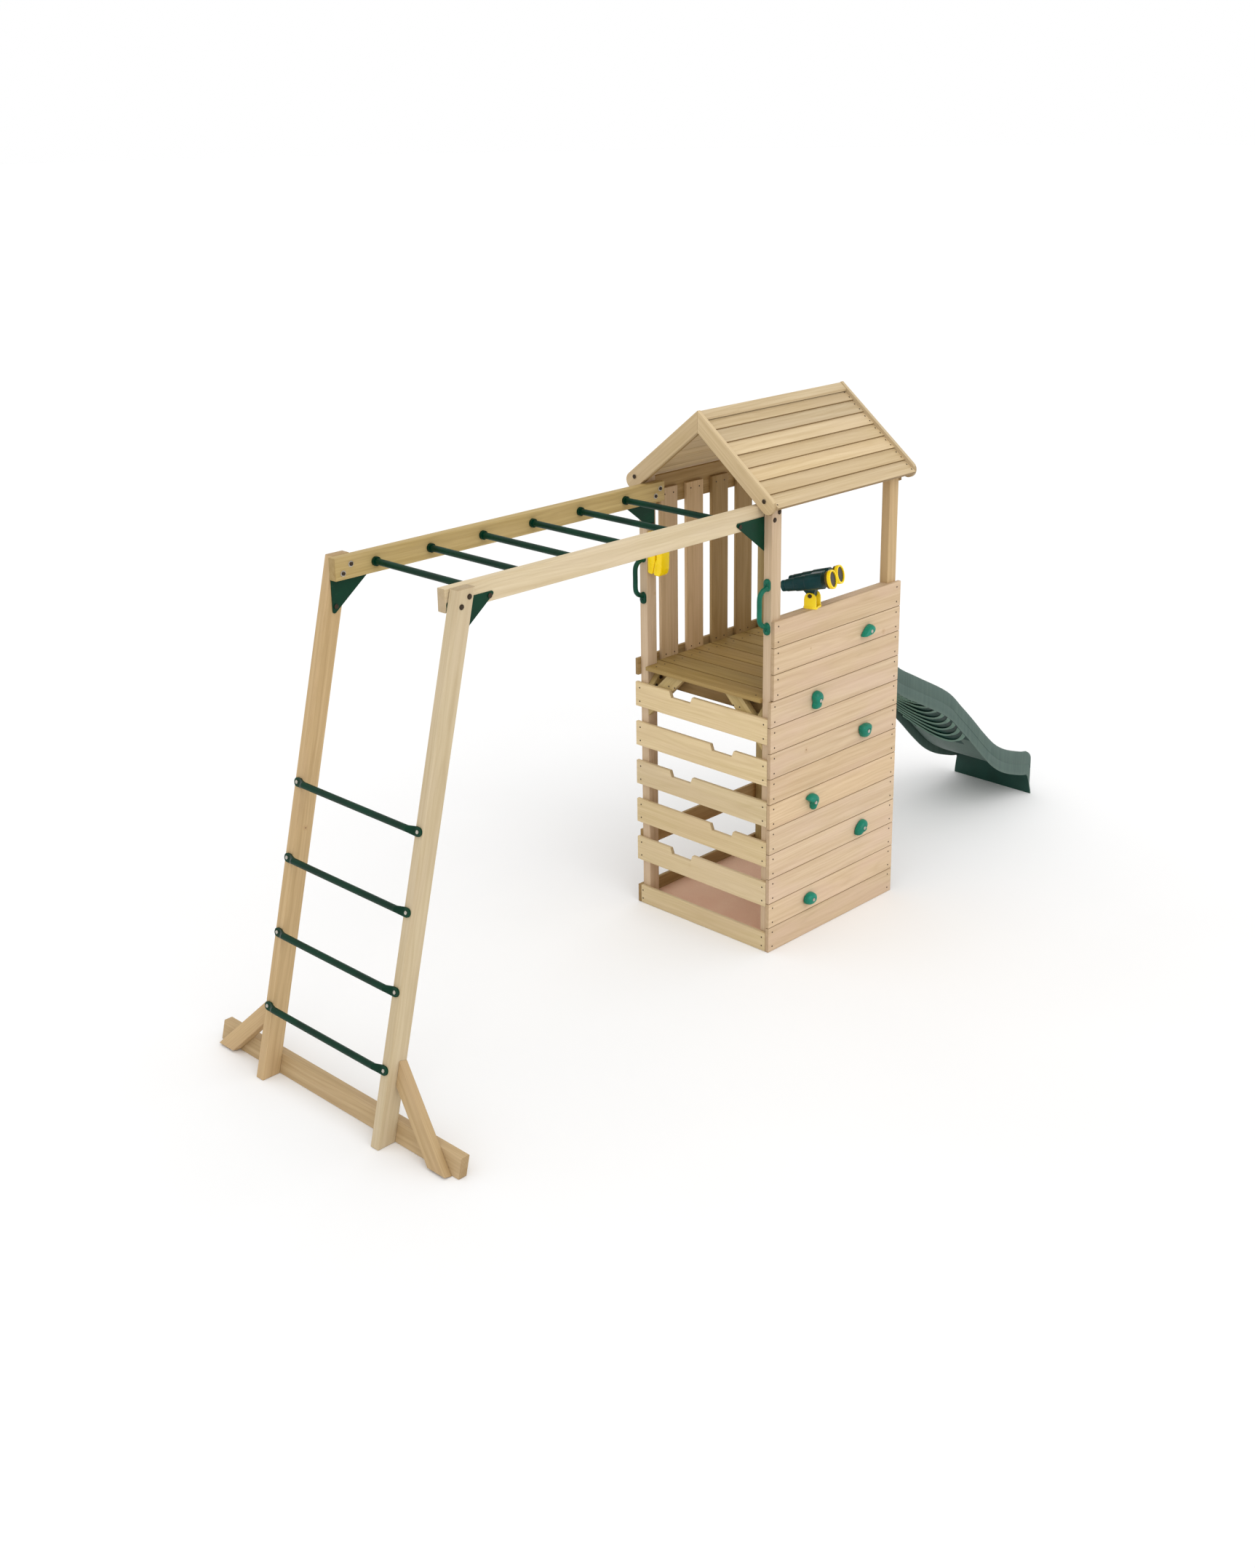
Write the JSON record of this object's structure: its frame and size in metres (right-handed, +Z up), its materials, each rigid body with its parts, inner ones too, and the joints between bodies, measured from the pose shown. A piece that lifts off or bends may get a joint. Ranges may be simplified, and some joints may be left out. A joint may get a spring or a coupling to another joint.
{
  "type": "climbing tower with monkey bars and slide",
  "caption": "Wooden playground tower with boarded climbing wall, pitched roof and slide, joined to a leaning ladder by overhead monkey bars.",
  "frame": {"origin": "centre of the whole footprint on the ground", "axes": "+X from the ladder along the monkey bars to the slide, +Y from the climbing wall towards the slatted side, +Z up"},
  "size_m": [4.6785, 1.51, 2.424],
  "materials": {
    "wood_posts": "planed pine",
    "wood_wall": "planed pine",
    "wood_boards": "planed pine",
    "wood_deck": "planed pine",
    "wood_bars": "planed pine",
    "wood_roof": "tapered pine boards",
    "green_metal": "glossy dark green paint",
    "steel": "zinc plated",
    "teal_plastic": "glossy",
    "yellow_plastic": "glossy",
    "binocular_body": "satin",
    "lens": "dark, reflective",
    "slide_plastic": "satin moulded plastic",
    "sand": "loose sand"
  },
  "bodies": {
    "frame": {"bargeboards": "wood_roof", "binocular_swivel_screw": "steel", "board_screws": "steel", "climbing_holds": "teal_plastic", "climbing_wall_boards": "wood_wall", "climbing_wall_top_rail": "wood_wall", "corner_plates": "green_metal", "deck_boards": "wood_deck", "deck_joists": "wood_deck", "foot_beam": "wood_bars", "foot_braces": "wood_bars", "frame_bolts": "steel", "front_post_far": "wood_posts", "front_post_near": "wood_posts", "grab_handle_far": "teal_plastic", "grab_handle_near": "teal_plastic", "guard_slats": "wood_boards", "hold_bolts": "steel", "knee_braces_across": "wood_deck", "knee_braces_along": "wood_deck", "ladder_leg_far": "wood_bars", "ladder_leg_near": "wood_bars", "ladder_rung_1": "green_metal", "ladder_rung_2": "green_metal", "ladder_rung_3": "green_metal", "ladder_rung_4": "green_metal", "ladder_rung_bolts": "steel", "monkey_beam_far": "wood_bars", "monkey_beam_near": "wood_bars", "monkey_rung_1": "green_metal", "monkey_rung_2": "green_metal", "monkey_rung_3": "green_metal", "monkey_rung_4": "green_metal", "monkey_rung_5": "green_metal", "monkey_rung_6": "green_metal", "notched_board_1": "wood_boards", "notched_board_2": "wood_boards", "notched_board_3": "wood_boards", "notched_board_4": "wood_boards", "notched_board_5": "wood_boards", "pit_sills": "wood_boards", "rafters": "wood_posts", "ridge_beam": "wood_posts", "ridge_cap": "wood_roof", "roof_boards_far": "wood_roof", "roof_boards_near": "wood_roof", "sand_bed": "sand", "slat_side_deck_rail": "wood_boards", "slat_side_low_rail": "wood_boards", "slat_side_top_rail": "wood_boards", "slide": "slide_plastic", "slide_post_far": "wood_posts", "slide_post_near": "wood_posts", "telephone_base": "teal_plastic"},
    "binocular_bracket": {"binocular_bracket": "yellow_plastic"},
    "binoculars": {"binocular_barrels": "binocular_body", "binocular_lens_rings": "yellow_plastic", "binocular_lenses": "lens", "binocular_pivot_bolt": "steel"},
    "handset": {"telephone_handset": "yellow_plastic"}
  },
  "joints": [
    {"name": "binocular_swivel", "type": "hinge", "parent": "frame", "child": "binocular_bracket", "pos_m": [0.1895, -0.38, 1.558], "axis": [0, 0, 1], "continuous": true},
    {"name": "binocular_tilt", "type": "hinge", "parent": "binocular_bracket", "child": "binoculars", "pos_m": [0.1895, -0.38, 1.616], "axis": [0.9537, 0.3007, 0], "range_deg": [-18, 35]},
    {"name": "handset_lift", "type": "slide", "parent": "frame", "child": "handset", "axis": [0, -1, 0], "range_m": [0, 0.12]}
  ]
}
